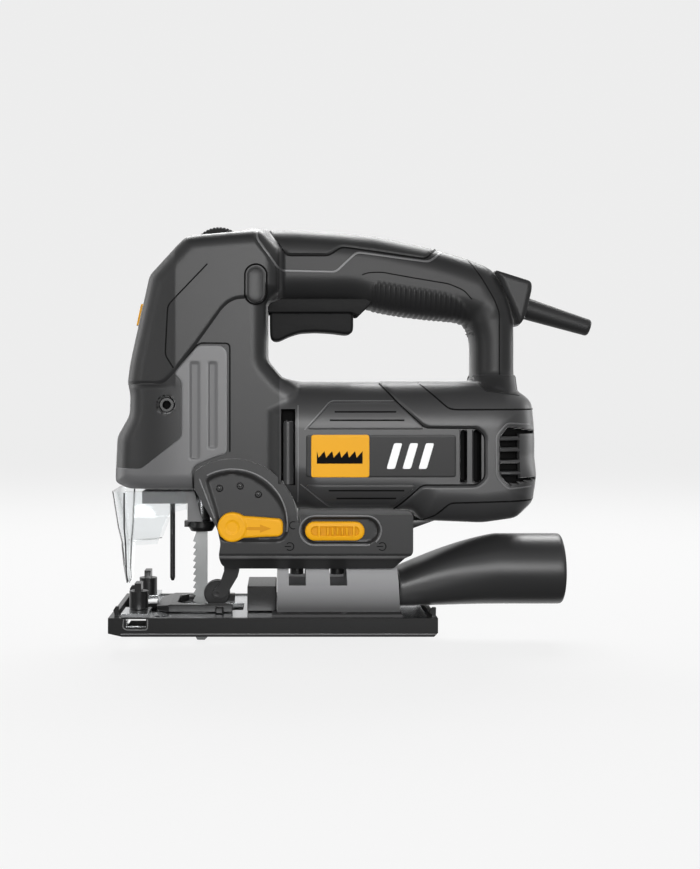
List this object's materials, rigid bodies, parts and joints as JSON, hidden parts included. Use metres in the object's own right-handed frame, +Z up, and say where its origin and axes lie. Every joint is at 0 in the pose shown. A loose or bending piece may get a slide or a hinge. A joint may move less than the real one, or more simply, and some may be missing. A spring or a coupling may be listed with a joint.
{
  "type": "jigsaw",
  "caption": "Corded D-handle jigsaw with a bevelling sole plate, orbital action, rear dust port, clear chip guard and reciprocating blade.",
  "frame": {"origin": "centre of the flat underside of the sole", "axes": "+X to the rear (cord and dust port), the blade is towards -X; +Y to the left flank; +Z up from the sole"},
  "size_m": [0.2516, 0.077, 0.2184],
  "materials": {
    "housing_plastic": "fine spark-eroded charcoal",
    "soft_grip": "soft matt overmould",
    "panel_grey": "satin grey",
    "label_dark": "printed plate",
    "yellow_plastic": "satin yellow",
    "black_plastic": "satin black",
    "clear_plastic": "clear polycarbonate",
    "frame_grey": "painted charcoal",
    "cradle_grey": "smooth grey",
    "bright_steel": "bright",
    "blade_steel": "grey satin",
    "cast_alloy": "as cast",
    "lamination": "laminated",
    "copper": "copper",
    "bronze": "sintered bronze",
    "carbon": "carbon",
    "circuit": "circuit board"
  },
  "bodies": {
    "machine": {"housing_right": "housing_plastic", "housing_left": "housing_plastic", "top_grip": "soft_grip", "under_grip": "soft_grip", "side_panel_right": "panel_grey", "side_panel_left": "panel_grey", "label_plate_right": "label_dark", "label_plate_left": "label_dark", "front_badge": "yellow_plastic", "lower_frame": "frame_grey", "gear_plate": "cast_alloy", "gear_axle": "bright_steel", "front_bearing": "bright_steel", "rear_bearing": "bright_steel", "stator_core": "lamination", "stator_winding": "copper", "brush_right": "carbon", "brush_left": "carbon", "plunger_bush_lower": "bronze", "plunger_bush_upper": "bronze", "finger_guard_rod": "black_plastic", "head_bracket": "panel_grey", "clear_guard": "clear_plastic", "switch_module": "black_plastic", "speed_module": "circuit", "cord_boot": "housing_plastic", "cord_guard": "soft_grip", "cord_clamp": "black_plastic", "housing_screw": "bright_steel", "bevel_bolt_front": "bright_steel", "bevel_bolt_rear": "bright_steel"},
    "base": {"overshoe": "black_plastic", "sole_plate": "bright_steel", "splinter_insert": "black_plastic", "cradle": "cradle_grey", "dust_chute": "black_plastic", "dust_port": "black_plastic", "fence_strap_right": "bright_steel", "fence_strap_left": "bright_steel"},
    "fence_screw_r": {"fence_screw_right": "black_plastic"},
    "fence_screw_l": {"fence_screw_left": "black_plastic"},
    "armature": {"armature_shaft": "bright_steel", "armature_core": "lamination", "commutator": "copper", "cooling_fan": "black_plastic", "pinion": "bright_steel"},
    "gear": {"drive_gear": "bright_steel", "crank_pin": "bright_steel"},
    "plunger": {"plunger_rod": "bright_steel", "scotch_yoke": "bright_steel", "blade": "blade_steel"},
    "clamp": {"blade_clamp_collar": "black_plastic"},
    "arm": {"guide_arm": "black_plastic"},
    "roller": {"guide_roller": "black_plastic"},
    "lever": {"orbit_lever": "yellow_plastic"},
    "blower": {"blower_slider": "yellow_plastic"},
    "switch": {"trigger": "black_plastic"},
    "lock": {"lock_button": "housing_plastic"},
    "dial": {"speed_dial": "black_plastic"}
  },
  "joints": [
    {"name": "bevel", "type": "hinge", "parent": "machine", "child": "base", "pos_m": [0, 0, 0.005], "axis": [1, 0, 0], "range_deg": [-45, 45]},
    {"name": "fence_screw_right_turn", "type": "hinge", "parent": "base", "child": "fence_screw_r", "pos_m": [-0.0687, -0.023, 0.012], "axis": [0, 0, 1], "range_deg": [-180, 180]},
    {"name": "fence_screw_left_turn", "type": "hinge", "parent": "base", "child": "fence_screw_l", "pos_m": [-0.0687, 0.023, 0.012], "axis": [0, 0, 1], "range_deg": [-180, 180]},
    {"name": "armature_spin", "type": "hinge", "parent": "machine", "child": "armature", "pos_m": [0, 0, 0.091], "axis": [1, 0, 0], "continuous": true},
    {"name": "gear_spin", "type": "hinge", "parent": "machine", "child": "gear", "pos_m": [-0.02, 0, 0.12135], "axis": [1, 0, 0], "continuous": true},
    {"name": "plunger_stroke", "type": "slide", "parent": "machine", "child": "plunger", "axis": [0, 0, 1], "range_m": [-0.02, 0]},
    {"name": "blade_release", "type": "hinge", "parent": "plunger", "child": "clamp", "pos_m": [-0.038, 0, 0.0515], "axis": [0, 0, 1], "range_deg": [0, 70], "stiffness_Nm_per_rad": 0.02},
    {"name": "orbit_swing", "type": "hinge", "parent": "machine", "child": "arm", "pos_m": [-0.022, 0, 0.042], "axis": [0, -1, 0], "range_deg": [0, 4]},
    {"name": "roller_spin", "type": "hinge", "parent": "arm", "child": "roller", "pos_m": [-0.0298, 0, 0.016], "axis": [0, 1, 0], "continuous": true},
    {"name": "orbit_select", "type": "hinge", "parent": "machine", "child": "lever", "pos_m": [-0.0204, -0.034, 0.0544], "axis": [0, -1, 0], "range_deg": [0, 108]},
    {"name": "blower_select", "type": "slide", "parent": "machine", "child": "blower", "axis": [1, 0, 0], "range_m": [0, 0.005]},
    {"name": "trigger_press", "type": "slide", "parent": "machine", "child": "switch", "axis": [0, 0, 1], "range_m": [0, 0.005], "stiffness_N_per_m": 600, "springref_m": -0.003},
    {"name": "lock_press", "type": "slide", "parent": "machine", "child": "lock", "axis": [0, 1, 0], "range_m": [0, 0.003], "stiffness_N_per_m": 400, "springref_m": -0.002},
    {"name": "speed_select", "type": "hinge", "parent": "machine", "child": "dial", "pos_m": [-0.0286, 0, 0.1949], "axis": [0, 1, 0], "range_deg": [0, 270]}
  ],
  "couplings": [
    {"joint": "gear_spin", "follows": "armature_spin", "ratio": -0.25}
  ]
}
